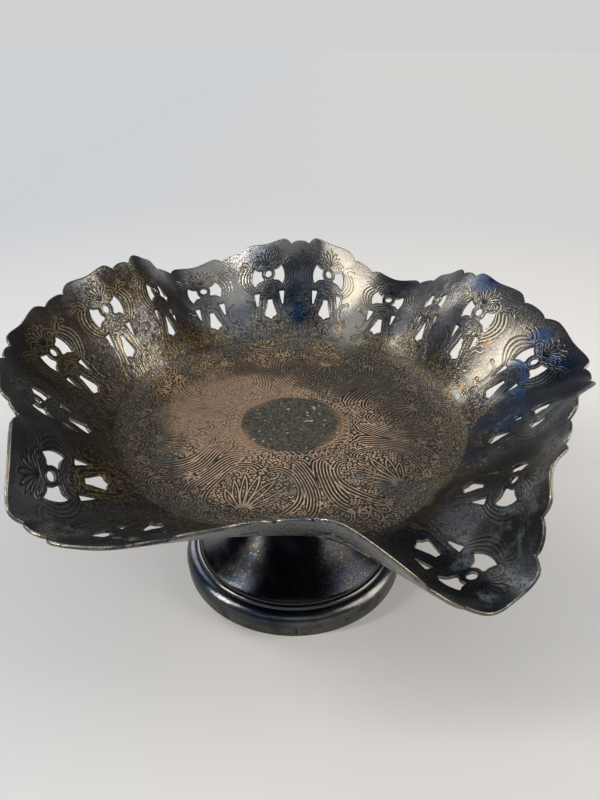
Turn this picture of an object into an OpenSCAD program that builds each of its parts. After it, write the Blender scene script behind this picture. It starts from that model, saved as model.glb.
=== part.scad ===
// Footed dish with a ruffled, scalloped and pierced wall, on a hollow spun foot.
// Millimetres, +Z up. The origin is on the table, under the middle of the dish's uneven outline.
// Angles are in degrees and run clockwise, seen from above, from the back (+Y).

/* [Dish] */
// Height of the dish's floor above the table
floor_height = 70.8; // [55:0.1:100]
// Radius of the flat part of the floor
floor_radius = 52; // [48:0.5:64]
// Length of the wall along its slope, from the flat floor to the tips of the scallops
wall_length = 70.8; // [67:0.1:77]
// Length along the slope in which the floor bends up into the wall
bend_length = 27; // [18:0.5:32]
// Thickness of the dish's sheet
sheet = 1.2; // [0.8:0.1:1.6]

/* [Ruffle] */
// Middle steepness of the wall
wall_angle = 42; // [38:1:50]
// How much steeper or flatter than that the ruffle makes the wall
ruffle_angle = 20; // [4:1:21]
// How far the lip is bent on, inward or outward, between the bend and the rim
lip_angle = 20; // [0:1:22]
// Share of the hand-bent rim's sideways unevenness that is kept
unevenness = 1; // [0:0.1:1]

/* [Scalloped rim] */
// Depth of the notches below the tips of the scallops
notch_depth = 3; // [1.5:0.1:4]
// Depth of the shallow dip in the middle of each scallop
dip_depth = 1.1; // [0.2:0.1:1.4]
// Height of the small round bump between two scallops
bump_height = 1.5; // [0.6:0.1:2]
// Half of the angle that a bump takes
bump_half_angle = 2.5; // [1.8:0.1:3]

/* [Pierced motifs] */
// Distance along the slope from the tips of the scallops down to the round hole
motif_drop = 17.1; // [14.5:0.1:18.5]
// Radius of the round hole
eye_radius = 1.7; // [1:0.1:2.2]
// Width of metal left round the round hole
eye_ring = 1.8; // [1.4:0.1:2.4]
// Radius of the outer edge of the two fan-shaped holes
fan_radius = 8.6; // [7.8:0.1:9.2]
// How far down the slope the middle of that edge's arc lies from the round hole
fan_drop = 1; // [0:0.1:1.6]
// Distance from the round hole down to the middle of the two tapered holes
taper_drop = 12.8; // [12:0.1:14]
// Distance from the middle line out to the tapered holes
taper_offset = 6.4; // [6:0.1:7]
// Length of the tapered holes
taper_length = 6.6; // [5:0.1:7]
// Width of the tapered holes at the top
taper_width = 2.7; // [1.8:0.1:3]
// Distance from the round hole down to the top of the keystone hole
keystone_drop = 13.3; // [11:0.1:15]
// Length of the keystone hole
keystone_length = 10; // [7:0.1:11]
// Width of the keystone hole at its widest
keystone_width = 5.7; // [4:0.1:6.4]

/* [Foot] */
// Radius of the upright band that the foot stands on
band_radius = 48.5; // [42:0.5:60]
// Height of the upright band
band_height = 5; // [3:0.1:8]
// How far the foot's axis stands to the side of the dish's own axis
foot_offset = 1.2; // [-2:0.1:2]
// How far the round bead stands out past the band
bead_overhang = 0.4; // [0.2:0.1:1]
// Width of the round bead, from its outside to the groove
bead_width = 4.7; // [3.5:0.1:6]
// Height of the round bead
bead_height = 4.8; // [3:0.1:6]
// Width of the flat ledge inside the groove
ledge_width = 1.9; // [1.2:0.1:3]
// Radius of the pedestal's narrowest part
neck_radius = 13.5; // [10:0.5:18]
// Radius of the flange that meets the dish
flange_radius = 19; // [18.5:0.5:24]
// Thickness of the foot's metal
foot_sheet = 1.2; // [0.8:0.1:1.6]
// Size of the solder fillet under the dish
solder_size = 2.4; // [1:0.1:4]
// Width of the seam where the band's two ends meet
seam_width = 0.35; // [0.2:0.05:0.6]

/* [Hidden] */

units = 18; // motifs round the wall
unit_angle = 360 / units;
bend_rows = [0, 0.25, 0.5, 0.75, 1]; // where the rows of points lie in the bend
wall_row_count = 2; // rows from the bend to the rim
slope_steps = 16; // steps that add up the sheet's slope
punch_depth = 8;
corner_radius = 0.4; // of the tapered holes

// The rim's crests and valleys in turn: where each falls, how far it is pulled up (+) or down (-), how
// far its lip is bent inward (+) or outward (-), and how many degrees the rim is turned there.
crimp_places = [2, 30, 65, 100, 112, 126, 152, 178, 222, 239, 258, 303, 326];
crimp_pulls = [0.84, -0.53, 1.11, 0.45, 0.24, -0.15, -1.72, 0.02, -0.98, 0.28, 0.33, 1.19, -0.28];
crimp_lips = [0.09, -0.55, -1.33, -1.37, 0.43, 0.55, 0.57, 0.46, 0.52, 0.43, 0.16, -0.4, -0.2];
crimp_turns = [0.6, -3, -7.6, 1.7, 6.9, 7.1, -1.5, -2.4, -5.2, -7.3, -3.5, 2.8, 1.1];

// From the origin to the dish's own axis. It brings the middle of the uneven outline over the origin.
axis_shift = [-3.1, 1.95];

middle_height = floor_height - sheet / 2; // the middle of the floor's sheet
under_height = floor_height - sheet; // the floor's underside
eye_slant = wall_length - motif_drop; // the round hole, along the slope

bead_radius = band_radius + bead_overhang;
groove_radius = bead_radius - bead_width;
groove_height = band_height + bead_height;
ledge_radius = groove_radius - ledge_width;
ledge_height = groove_height + foot_sheet;
flange_under = under_height - foot_sheet;
solder_radius = flange_radius + solder_size;
seam_angle = 177;

// ---- the ruffled sheet ----

function smooth(t) = t * t * (3 - 2 * t);
function unit(v) = v / norm(v);
function total(list, i = 0) = i == len(list) ? 0 : list[i] + total(list, i + 1);
function wrap(a) = a - 360 * floor(a / 360);

// Which crest or valley an angle lies after.
function crimp_before(a, i = 0) =
    (i == len(crimp_places) - 1 || a < crimp_places[i + 1]) ? i : crimp_before(a, i + 1);

// A value from one of the lists, carried in half waves from each crest or valley to the next.
function crimped(values, angle) =
    let (first = crimp_places[0])
    let (a = first + wrap(angle - first))
    let (i = crimp_before(a))
    let (last = i == len(crimp_places) - 1)
    let (from = crimp_places[i])
    let (to = last ? first + 360 : crimp_places[i + 1])
    let (next = last ? values[0] : values[i + 1])
    let (share = (a - from) / (to - from))
    values[i] + (next - values[i]) * (1 - cos(180 * share)) / 2;

// The sheet's lean at distance t along the slope, where the ruffle has the given pull and lip.
function lean(pull, lip, t) =
    (wall_angle + ruffle_angle * pull) * smooth(min(t / bend_length, 1))
    + lip_angle * lip * max(0, t - bend_length) / (wall_length - bend_length);

// The middle of the sheet at pattern angle a and distance s along the slope.
function sheet_point(a, s) =
    let (pull = crimped(crimp_pulls, a))
    let (lip = crimped(crimp_lips, a))
    let (leans = [for (k = [0.5 : slope_steps]) lean(pull, lip, k / slope_steps * s)])
    let (r = floor_radius + total([for (l = leans) cos(l)]) * s / slope_steps)
    let (z = middle_height + total([for (l = leans) sin(l)]) * s / slope_steps)
    let (b = a + unevenness * crimped(crimp_turns, a) * s / wall_length)
    [r * sin(b), r * cos(b), z];

function along_rim(a, s) = (sheet_point(a + 0.2, s) - sheet_point(a - 0.2, s)) / 0.4; // mm for each degree
function up_slope(a, s) = sheet_point(a, s + 0.2) - sheet_point(a, max(s - 0.2, 0));
function facing(a, s) = s <= 0 ? [0, 0, 1] : unit(cross(along_rim(a, s), up_slope(a, s)));

// ---- the scalloped rim ----

// Height of the rim's edge above its notches, for an angle measured from the nearest bump.
function scallop(a) =
    let (u = abs(a - unit_angle * round(a / unit_angle)))
    let (t = (u - bump_half_angle) / (unit_angle / 2 - bump_half_angle))
    u < bump_half_angle
        ? bump_height * sqrt(max(0, 1 - pow(u / bump_half_angle, 2)))
        : t < 1 / 3
            ? notch_depth * sin(90 * t * 3)
            : notch_depth - dip_depth * (1 - cos(180 * (t - 1 / 3) * 1.5)) / 2;

function rim_slant(a) = wall_length - notch_depth + scallop(a);

// Distances along the slope of the rows of points, from the flat floor to the rim.
function row_slant(a, j) =
    let (past_bend = j - len(bend_rows) + 1)
    past_bend <= 0
        ? bend_length * bend_rows[j]
        : bend_length + (rim_slant(a) - bend_length) * past_bend / wall_row_count;

// The angles in one unit, from bump to bump, at which the sheet is drawn.
function unit_places() =
    let (half = unit_angle / 2)
    let (lobe = half - bump_half_angle)
    let (first = [0.68 * bump_half_angle, bump_half_angle, half - 0.77 * lobe, half - 0.4 * lobe])
    concat([0], first, [half], [for (i = [len(first) - 1 : -1 : 0]) unit_angle - first[i]]);

// ---- the dish ----

module ruffled_sheet() {
    angles = [for (k = [0 : units - 1]) for (u = unit_places()) k * unit_angle + u];
    n = len(angles);
    rows = len(bend_rows) - 1 + wall_row_count;
    top = [for (j = [0 : rows]) for (a = angles)
        let (s = row_slant(a, j)) sheet_point(a, s) + facing(a, s) * sheet / 2];
    bottom = [for (j = [0 : rows]) for (a = angles)
        let (s = row_slant(a, j)) sheet_point(a, s) - facing(a, s) * sheet / 2];
    under = len(top);
    walls = [for (j = [0 : rows - 1]) for (i = [0 : n - 1])
        let (k = (i + 1) % n)
        let (p = j * n + i)
        let (q = j * n + k)
        each [
            [p, p + n, q + n],
            [p, q + n, q],
            [under + p, under + q + n, under + p + n],
            [under + p, under + q, under + q + n]
        ]];
    rim = [for (i = [0 : n - 1])
        let (p = rows * n + i)
        let (q = rows * n + (i + 1) % n)
        each [[p, under + p, under + q], [p, under + q, q]]];
    floor_top = [for (i = [0 : n - 1]) i];
    floor_under = [for (i = [n - 1 : -1 : 0]) under + i];
    polyhedron(concat(top, bottom), concat(walls, rim, [floor_top, floor_under]));
}

// Stands its children on the sheet, x mm sideways and y mm up the slope from a motif's round hole.
module on_sheet(motif_angle, x, y) {
    s = eye_slant + y;
    a = motif_angle + x / norm(along_rim(motif_angle, s));
    side = unit(along_rim(a, s));
    out = facing(a, s);
    up = cross(out, side);
    p = sheet_point(a, s);
    multmatrix([
        [side[0], up[0], out[0], p[0]],
        [side[1], up[1], out[1], p[1]],
        [side[2], up[2], out[2], p[2]]
    ]) children();
}

module punch() {
    linear_extrude(height = punch_depth, center = true) children();
}

// A fan-shaped hole on the right of the round hole: an arc outside, and small lobes on its other sides.
module fan_shape() {
    ring = eye_radius + eye_ring;
    // The corners of a side: each pair is a share of the way out from the ring, and an angle.
    upper_side = [[0.45, 23], [0.19, 24]];
    lower_side = [[0.15, -51], [0.42, -39], [0.68, -36]];
    polygon(concat(
        [for (a = [-32 : 16 : 33]) [fan_radius * cos(a), fan_radius * sin(a) - fan_drop]],
        [for (p = upper_side) (ring + (fan_radius - ring) * p[0]) * [cos(p[1]), sin(p[1])]],
        [for (a = [22 : -33 : -44]) [ring * cos(a), ring * sin(a)]],
        [for (p = lower_side) (ring + (fan_radius - ring) * p[0]) * [cos(p[1]), sin(p[1])]]
    ));
}

module taper_shape() {
    top = taper_length / 2 - corner_radius;
    hull() {
        for (side = [-1, 1])
            translate([side * (taper_width / 2 - corner_radius), top]) circle(r = corner_radius, $fn = 6);
        translate([0, -top]) circle(r = corner_radius, $fn = 6);
    }
}

// The keystone hole, with its narrow end at the top and a blunt point at the bottom.
module keystone_shape() {
    w = keystone_width / 2;
    l = keystone_length;
    polygon([
        [-0.4 * w, 0], [0.4 * w, 0], [0.48 * w, -0.2 * l], [w, -0.73 * l], [0.88 * w, -0.84 * l],
        [0.42 * w, -0.89 * l], [0, -l], [-0.42 * w, -0.89 * l], [-0.88 * w, -0.84 * l],
        [-w, -0.73 * l], [-0.48 * w, -0.2 * l]
    ]);
}

module motif(angle) {
    fan_middle = (fan_radius + eye_radius + eye_ring) / 2;
    on_sheet(angle, 0, 0) punch() circle(r = eye_radius, $fn = 12);
    for (side = [-1, 1]) {
        on_sheet(angle, side * fan_middle, -fan_drop)
            punch() mirror([side < 0 ? 1 : 0, 0]) translate([-fan_middle, fan_drop]) fan_shape();
        on_sheet(angle, side * taper_offset, -taper_drop) punch() taper_shape();
    }
    on_sheet(angle, 0, -keystone_drop - keystone_length / 2)
        punch() translate([0, keystone_length / 2]) keystone_shape();
}

module bowl() {
    color("#4a4640") difference() {
        ruffled_sheet();
        for (k = [0 : units - 1]) motif((k + 0.5) * unit_angle);
    }
}

// ---- the foot ----

module solder_joint() {
    color("#8a8780") rotate_extrude($fn = 96) polygon([
        [flange_radius, under_height],
        [solder_radius, under_height],
        [flange_radius + solder_size * 0.4, under_height - foot_sheet * 0.45],
        [flange_radius, flange_under]
    ]);
}

// The outside of the trumpet, from the ledge in and up to the flange. Each pair is a share of the way in
// to the neck and a share of the way up to the flange.
trumpet = [
    [0.03, 0.02], [0.2, 0.075], [0.42, 0.145], [0.62, 0.225], [0.77, 0.315],
    [0.88, 0.43], [0.955, 0.57], [0.99, 0.7], [1, 0.8], [0.985, 0.89], [0.94, 0.955]
];
function trumpet_outside() = [for (p = trumpet) [
    ledge_radius - (ledge_radius - neck_radius) * p[0],
    ledge_height + (flange_under - ledge_height) * p[1]
]];

module pedestal() {
    outside = trumpet_outside();
    inside = [for (i = [0 : len(outside) - 1])
        let (before = outside[max(i - 1, 0)])
        let (after = outside[min(i + 1, len(outside) - 1)])
        let (way = unit(after - before))
        outside[i] + foot_sheet * [-way[1], way[0]]];
    color("#3b3d42") rotate_extrude($fn = 128) polygon(concat(
        [[ledge_radius - foot_sheet, groove_height], [groove_radius, groove_height]],
        [[groove_radius, ledge_height - 0.4], [groove_radius - 0.4, ledge_height]],
        [[ledge_radius, ledge_height]],
        outside,
        [[flange_radius, flange_under], [flange_radius, under_height]],
        [[neck_radius - foot_sheet, under_height]],
        [for (i = [len(inside) - 1 : -1 : 0]) inside[i]]
    ));
}

module foot_bead() {
    inner_width = bead_width - foot_sheet;
    inner_height = bead_height - foot_sheet;
    color("#3b3d42") rotate_extrude($fn = 128) polygon(concat(
        [for (a = [0 : 7.5 : 90])
            [groove_radius + bead_width * cos(a), band_height + bead_height * sin(a)]],
        [[groove_radius - ledge_width, groove_height]],
        [[groove_radius - ledge_width, groove_height - foot_sheet]],
        [for (a = [90 : -7.5 : 0])
            [groove_radius + inner_width * cos(a), band_height + inner_height * sin(a)]]
    ));
}

module foot_band() {
    color("#45474b") difference() {
        cylinder(r = band_radius, h = band_height, $fn = 128);
        translate([0, 0, -1]) cylinder(r = band_radius - foot_sheet, h = band_height + 2, $fn = 128);
        rotate(-seam_angle)
            translate([-seam_width / 2, band_radius - foot_sheet / 2, -1])
                cube([seam_width, foot_sheet, band_height + 2]);
    }
}

module on_dish_axis() {
    translate(axis_shift) children();
}

module on_foot_axis() {
    translate(axis_shift + [foot_offset, 0]) children();
}

on_dish_axis() bowl();
on_foot_axis() solder_joint();
on_foot_axis() pedestal();
on_foot_axis() foot_bead();
on_foot_axis() foot_band();
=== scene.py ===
"""A tarnished silver-plated footed dish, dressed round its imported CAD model.

The dish is one mesh, with the solid's ruffled wall, scalloped rim and pierced motifs and with the chased
lines raised on it. The foot's three pieces are turned. Shapes are worked out in mm and go into Blender in
metres.
"""

import math

import bmesh
import bpy
import numpy as np
from mathutils import Matrix, Vector
from mathutils.geometry import delaunay_2d_cdt
from mathutils.kdtree import KDTree


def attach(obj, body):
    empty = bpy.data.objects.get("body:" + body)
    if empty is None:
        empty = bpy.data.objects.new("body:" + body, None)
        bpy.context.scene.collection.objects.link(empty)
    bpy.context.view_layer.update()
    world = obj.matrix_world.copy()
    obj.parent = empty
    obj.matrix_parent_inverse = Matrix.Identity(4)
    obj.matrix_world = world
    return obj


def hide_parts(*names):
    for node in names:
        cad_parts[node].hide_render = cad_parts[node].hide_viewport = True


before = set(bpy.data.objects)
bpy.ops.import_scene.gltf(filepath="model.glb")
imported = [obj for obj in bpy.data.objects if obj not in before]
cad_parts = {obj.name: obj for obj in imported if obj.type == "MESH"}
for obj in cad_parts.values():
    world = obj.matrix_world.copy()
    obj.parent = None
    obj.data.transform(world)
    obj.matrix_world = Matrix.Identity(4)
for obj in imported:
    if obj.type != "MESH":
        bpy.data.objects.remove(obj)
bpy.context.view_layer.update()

MM = 0.001

# The dish's sizes, as in the solid. The four crimp lists, rounded from a fit, give the ruffle's crests and
# valleys in turn: where each falls, its pull up or down, its lip's bend and its turn.
FLOOR_HEIGHT = 70.8
FLOOR_RADIUS = 52
WALL_LENGTH = 70.8
BEND_LENGTH = 27
SHEET = 1.2
WALL_ANGLE = 42
RUFFLE_ANGLE = 20
LIP_ANGLE = 20
NOTCH_DEPTH = 3
DIP_DEPTH = 1.1
BUMP_HEIGHT = 1.5
BUMP_HALF_ANGLE = 2.5
MOTIF_DROP = 17.1
EYE_RADIUS = 1.7
EYE_RING = 1.8
FAN_RADIUS = 8.6
FAN_DROP = 1
TAPER_DROP = 12.8
TAPER_OFFSET = 6.4
TAPER_LENGTH = 6.6
TAPER_WIDTH = 2.7
CORNER_RADIUS = 0.4  # of the tapered holes
KEYSTONE_DROP = 13.3
KEYSTONE_LENGTH = 10
KEYSTONE_WIDTH = 5.7
CRIMP_PLACES = [2, 30, 65, 100, 112, 126, 152, 178, 222, 239, 258, 303, 326]
CRIMP_PULLS = [0.84, -0.53, 1.11, 0.45, 0.24, -0.15, -1.72, 0.02, -0.98, 0.28, 0.33, 1.19, -0.28]
CRIMP_LIPS = [0.09, -0.55, -1.33, -1.37, 0.43, 0.55, 0.57, 0.46, 0.52, 0.43, 0.16, -0.4, -0.2]
CRIMP_TURNS = [0.6, -3, -7.6, 1.7, 6.9, 7.1, -1.5, -2.4, -5.2, -7.3, -3.5, 2.8, 1.1]
AXIS = np.array([-3.1, 1.95, 0])  # the dish's own axis
UNITS = 18  # motifs round the wall
UNIT_ANGLE = 20  # degrees
HALF_UNIT = 10  # degrees
MIDDLE_HEIGHT = FLOOR_HEIGHT - SHEET / 2
EYE_SLANT = WALL_LENGTH - MOTIF_DROP
SLOPE_STEPS = 16  # steps that add up the sheet's slope

# The foot's sizes, as in the solids.
FOOT_AXIS = AXIS + [1.2, 0, 0]
FOOT_SHEET = 1.2
BAND_RADIUS = 48.5
BAND_HEIGHT = 5
BEAD_RADIUS = 48.9
BEAD_WIDTH = 4.7
BEAD_HEIGHT = 4.8
LEDGE_WIDTH = 1.9
NECK_RADIUS = 13.5
FLANGE_RADIUS = 19
SEAM_WIDTH = 0.35
SEAM_ANGLE = 177
UNDER_HEIGHT = FLOOR_HEIGHT - SHEET
GROOVE_RADIUS = BEAD_RADIUS - BEAD_WIDTH
GROOVE_HEIGHT = BAND_HEIGHT + BEAD_HEIGHT
LEDGE_RADIUS = GROOVE_RADIUS - LEDGE_WIDTH
LEDGE_HEIGHT = GROOVE_HEIGHT + FOOT_SHEET
FLANGE_UNDER = UNDER_HEIGHT - FOOT_SHEET
FOOT_STEPS = 256  # round the foot
LEDGE_FLAT = 0.5  # width of the ledge before it rounds over into the groove
# The foot's flare, as shares of the way in from the ledge to the neck and of the way up to the flange.
TRUMPET = [
    (0, 0), (0.03, 0.02), (0.2, 0.075), (0.42, 0.145), (0.62, 0.225), (0.77, 0.315), (0.88, 0.43),
    (0.955, 0.57), (0.99, 0.7), (1, 0.8), (0.985, 0.89), (0.94, 0.955),
]

# The chased work.
CHASED_RADIUS = 71  # the chased floor reaches this far, a little way up the bend
MEDALLION_RADIUS = 20.2
FAN_PHASE = 14.5  # degrees from the back to the first of the floor's six palm fans
LINE_WIDTH = 0.43  # from a chased line's middle to the ground
DOT_PITCH = 1.5
LINE_HEIGHT = 0.16
GROOVE_WIDTH = 0.28  # from the middle of a groove on the wall to its edge
GROOVE_DEPTH = 0.13
LIP_PLACE = 0.46  # from the middle of a groove to the metal pushed up beside it
LIP_HEIGHT = 0.05
LIP_WIDTH = 0.26  # from the middle of that lip to its edge
LIP_SHARE = 0.6  # what a groove's value falls to below 0 on its lips
BORDER_END = 21.6  # distance along the slope where the mesh for the chased floor ends
CLOGGED_ANGLE = 140  # pattern angle at which the grooves are nearly full
MIRRORED_HOLES = (2, 4)  # places of the mirrored ones among a motif's holes
TRUE_HALF = 9  # a motif keeps its true size this far to each side of its middle line, in mm
MOTIF_HALF_ANGLE = 8.6  # unless that is more than this many degrees
TRUE_START, TRUE_END = (17, 26), (57.5, 66)  # distances along the slope over which that sets in and ends

# Where the plate's colours lie, as spots: pattern angle, distance along the slope and reach in mm. The gilt
# ones are lighter stretches of the chased border; the others are on the wall, and some of those are partly
# painted light.
# Clean, lighter plate, placed partly as painted highlights where the metal should shine.
CLEAN_AND_HIGHLIGHT_SPOTS = (
    (20, 60, 20), (20, 44, 17), (21, 28, 15), (-68, 24, 16), (-70, 36, 10), (81, 29, 14), (81, 45, 14),
    (77, 58, 15), (-21, 48, 12),
)
# Dark film, placed partly as painted shade where the metal should reflect little.
DARK_FILM_AND_SHADE_SPOTS = (
    (112, 42, 42), (145, 48, 52), (138, 26, 26), (-160, 50, 44), (-124, 50, 40), (45, 58, 12),
    (-50, 62, 24), (-80, 64, 22), (-96, 58, 28), (-40, 30, 14), (34, 62, 12), (36, 40, 12), (0, 50, 22),
    (66, 30, 12), (64, 46, 12), (-62, 64, 14), (-33, 52, 12), (92, 44, 13), (63, 38, 12), (60, 40, 12),
    (-10, 62, 15), (-9, 44, 10), (10, 46, 11),
)
BROWN_SPOTS = ((-88, 50, 44), (-62, 45, 38), (-78, 18, 36), (-45, 25, 24), (-102, 20, 28), (-128, 28, 30))
# Near-black soot, placed partly as painted shade over a reflection.
SOOT_AND_SHADE_SPOTS = (
    (141, 32, 19), (127, 44, 20), (143, 52, 14), (151, 46, 13), (152, 28, 12), (153, 62, 9), (90, 42, 9),
)
# Blue tarnish film, partly a painted reflection of blue sky in the darker places.
BLUE_FILM_AND_SKY_SPOTS = (
    (90, 18, 15), (98, 16, 22), (67, 69, 9), (94, 54, 22), (1, 36, 15), (104, 40, 22), (112, 22, 14),
    (86, 61, 8),
)
# A vivid blue glaze near the rim, partly a painted reflection of blue sky.
GLAZE_AND_SKY_SPOTS = ((67, 69, 10), (86, 61, 8))
HAZE_SPOTS = (
    (134, 66, 9), (140, 58, 11), (128, 62, 9), (121, 64, 9), (112, 58, 12), (153, 64, 6), (150, 50, 6),
    (-120, 66, 9), (-142, 60, 9),
)
FLECK_SPOTS = ((80, 26, 16), (80, 44, 13), (20, 24, 12), (-68, 18, 12))
GILT_SPOTS = ((-64, 10, 15), (-40, 10, 14), (-12, 10, 16), (14, 10, 14))

# How fine the meshes are.
DRAFT = 1
FLOOR_STEP = 0.31 * DRAFT
BORDER_STEP = 0.34 * DRAFT
WALL_STEP = 0.3 * DRAFT
PLAIN_STEP = 1.3
FINE_REACH = 0.85  # from a groove's middle, in mm
UNDER_STEP = 2.2
ROW_SHARE = 0.866  # of the step between a grid's points, from one row to the next
LINE_STEP = 0.12  # between the points of a drawn line
TEMPLATE_HALF = 14  # half of a unit's width in the flat pattern
RIM_INSET = 0.2  # keeps the finely cut rim inside the solid's coarser one
BEVEL = 0.12  # how far below the sheet's face a hole's wall starts
BEVEL_WIDTH = 0.14


# ---- the ruffled sheet ----

def smooth(t):
    return t * t * (3 - 2 * t)


def ramp(value, start, end):
    """0 before start, 1 after end, and smooth between them."""
    return smooth(np.clip((value - start) / (end - start), 0, 1))


def crimped(values, angle):
    """A value from one of the crimp lists, carried in half waves from each crest or valley to the next."""
    first = CRIMP_PLACES[0]
    places = np.append(CRIMP_PLACES, first + 360)
    values = np.append(values, values[0])
    a = first + (angle - first) % 360
    i = np.clip(np.searchsorted(places, a, side="right") - 1, 0, len(places) - 2)
    share = (a - places[i]) / (places[i + 1] - places[i])
    return values[i] + (values[i + 1] - values[i]) * (1 - np.cos(np.pi * share)) / 2


def sheet_point(a, s):
    """The middle of the sheet at pattern angle a (degrees) and distance s (mm) along the slope."""
    full = WALL_ANGLE + RUFFLE_ANGLE * crimped(CRIMP_PULLS, a)
    lip = LIP_ANGLE * crimped(CRIMP_LIPS, a)
    t = s[:, None] * (np.arange(SLOPE_STEPS) + 0.5) / SLOPE_STEPS
    lean = full[:, None] * smooth(np.clip(t / BEND_LENGTH, 0, 1))
    lean += lip[:, None] * np.clip((t - BEND_LENGTH) / (WALL_LENGTH - BEND_LENGTH), 0, None)
    lean = np.radians(lean)
    r = FLOOR_RADIUS + np.cos(lean).sum(1) * s / SLOPE_STEPS
    z = MIDDLE_HEIGHT + np.sin(lean).sum(1) * s / SLOPE_STEPS
    return np.column_stack([polar(r, a + crimped(CRIMP_TURNS, a) * s / WALL_LENGTH), z])


def along_rim(a, s):
    """The step to a point one degree further round, in mm."""
    return (sheet_point(a + 0.2, s) - sheet_point(a - 0.2, s)) / 0.4


def facing(a, s):
    """The sheet's upper side's direction."""
    up = sheet_point(a, s + 0.2) - sheet_point(a, np.maximum(s - 0.2, 0))
    n = np.cross(along_rim(a, s), up)
    n /= np.linalg.norm(n, axis=1, keepdims=True)
    n[s <= 0] = (0, 0, 1)
    return n


def scallop(a):
    """Height of the rim above its notches, for an angle measured from a bump."""
    u = np.abs(a - UNIT_ANGLE * np.round(a / UNIT_ANGLE))
    t = (u - BUMP_HALF_ANGLE) / (HALF_UNIT - BUMP_HALF_ANGLE)
    bump = BUMP_HEIGHT * np.sqrt(np.clip(1 - (u / BUMP_HALF_ANGLE) ** 2, 0, 1))
    climb = NOTCH_DEPTH * np.sin(np.radians(90 * np.clip(t, 0, 1) * 3))
    lobe = NOTCH_DEPTH - DIP_DEPTH * (1 - np.cos(np.pi * (t - 1 / 3) * 1.5)) / 2
    return np.where(u < BUMP_HALF_ANGLE, bump, np.where(t < 1 / 3, climb, lobe))


# ---- lines to draw with: each is an array of (x, y) points in mm ----
# Angles run clockwise from up, as the dish's do, except in arc and volute.

def polar(r, degrees):
    """Points at a distance from the middle."""
    a = np.radians(degrees)
    return np.stack([r * np.sin(a), r * np.cos(a)], -1)


def turned(points, degrees):
    c, s = math.cos(math.radians(degrees)), math.sin(math.radians(degrees))
    return np.asarray(points, float) @ np.array([[c, -s], [s, c]])


def spaced(points):
    """The same line, with its points evenly spaced."""
    points = np.asarray(points, float)
    along = np.concatenate([[0], np.cumsum(np.hypot(*np.diff(points, axis=0).T))])
    places = np.linspace(0, along[-1], max(2, int(along[-1] / LINE_STEP) + 1))
    return np.stack([np.interp(places, along, points[:, i]) for i in (0, 1)], 1)


def curve(*points):
    """A smooth line through the points."""
    p = np.asarray(points, float)
    p = np.vstack([2 * p[0] - p[1], p, 2 * p[-1] - p[-2]])
    t = np.linspace(0, 1, 12, endpoint=False)[:, None]
    parts = []
    for a, b, c, d in zip(p, p[1:], p[2:], p[3:]):
        parts.append(0.5 * (2 * b + (c - a) * t + (2 * a - 5 * b + 4 * c - d) * t**2
                            + (3 * b - a - 3 * c + d) * t**3))
    return spaced(np.vstack(parts + [p[-2:-1]]))


def arc(centre, radius, start, end):
    """Its start and end are measured anticlockwise from x, as a volute's start is."""
    return spaced(centre + polar(radius, 90 - np.linspace(start, end, 60)))


def volute(centre, radius, start, turns):
    """A spiral that runs in from its radius. A negative number of turns runs clockwise."""
    t = np.linspace(0, 1, 90)
    return spaced(centre + polar(radius * (1 - 0.82 * t), 90 - start - 360 * turns * t))


def beside(line, distance):
    """A line parallel to another, to its left."""
    way = np.gradient(line, axis=0)
    way /= np.linalg.norm(way, axis=1, keepdims=True) + 1e-9
    return line + distance * np.stack([-way[:, 1], way[:, 0]], 1)


def leaf(base, angle, length, half_width, belly=0.75):
    """The outline of a leaf, widest nearer its tip where the belly is above 1."""
    t = np.linspace(0, 1, 30)
    right = np.stack([half_width * np.sin(np.pi * t**belly), t * length], 1)
    return spaced(turned(np.vstack([right, right[::-1] * (-1, 1)]), angle) + base)


def comma(place, angle, size):
    """A leaf lobe: a plump stroke with a hooked end."""
    shape = np.array([(0, 0), (0.34, 0.35), (0.42, 0.75), (0.12, 1.02), (-0.22, 0.86), (-0.14, 0.62)])
    return curve(*(turned(shape * size, angle) + place))


def lobes(base, angle, length):
    """An acanthus leaf: five rounded lobes that spread from one point."""
    made = []
    for turn, share in ((-66, 0.6), (-33, 0.85), (0, 1), (33, 0.85), (66, 0.6)):
        start = base + polar(0.22 * length, angle + turn)
        made.append(leaf(start, angle + turn, length * (share - 0.2), 0.16 * length, 1.7))
    return made


def c_scroll(centre, radius, opening):
    """A crescent of two lines whose ends curl in."""
    start = 90 - opening
    made = [arc(centre, radius, start + 62, start + 298), arc(centre, radius - 1.05, start + 78, start + 282)]
    for way in (-1, 1):
        end = start + way * 66
        made.append(volute(centre + polar(radius - 1.1, 90 - end), 1.1, end, -1.2 * way))
    return made


# ---- the pierced motif ----

def fan_hole():
    """The right fan-shaped hole. Its sides' points are shares of the way out from the ring, and angles
    measured anticlockwise from x."""
    ring = EYE_RADIUS + EYE_RING
    upper = [(0.62, 24), (0.45, 22.5), (0.3, 22.5), (0.16, 25)]
    lower = [(0.12, -50), (0.25, -46), (0.42, -39), (0.55, -36.5), (0.7, -36)]
    upper, lower = (
        [polar(ring + (FAN_RADIUS - ring) * share, 90 - angle) for share, angle in side]
        for side in (upper, lower))
    outer = polar(FAN_RADIUS, 90 - np.linspace(-33, 33, 23)) - (0, FAN_DROP)
    return np.vstack([outer, upper, polar(ring, 90 - np.linspace(22, -44, 15)), lower])


def taper_hole():
    """The right tapered hole: two round corners at the top and one at the foot."""
    top, w, r = TAPER_LENGTH / 2, TAPER_WIDTH / 2, CORNER_RADIUS
    corners = (((w - r, top - r), 0, 90), ((-w + r, top - r), 90, 180), ((0, -top + r), 190, 350))
    parts = [arc(centre, r, start, end)[::2] for centre, start, end in corners]
    return np.vstack(parts) + (TAPER_OFFSET, -TAPER_DROP)


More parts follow.
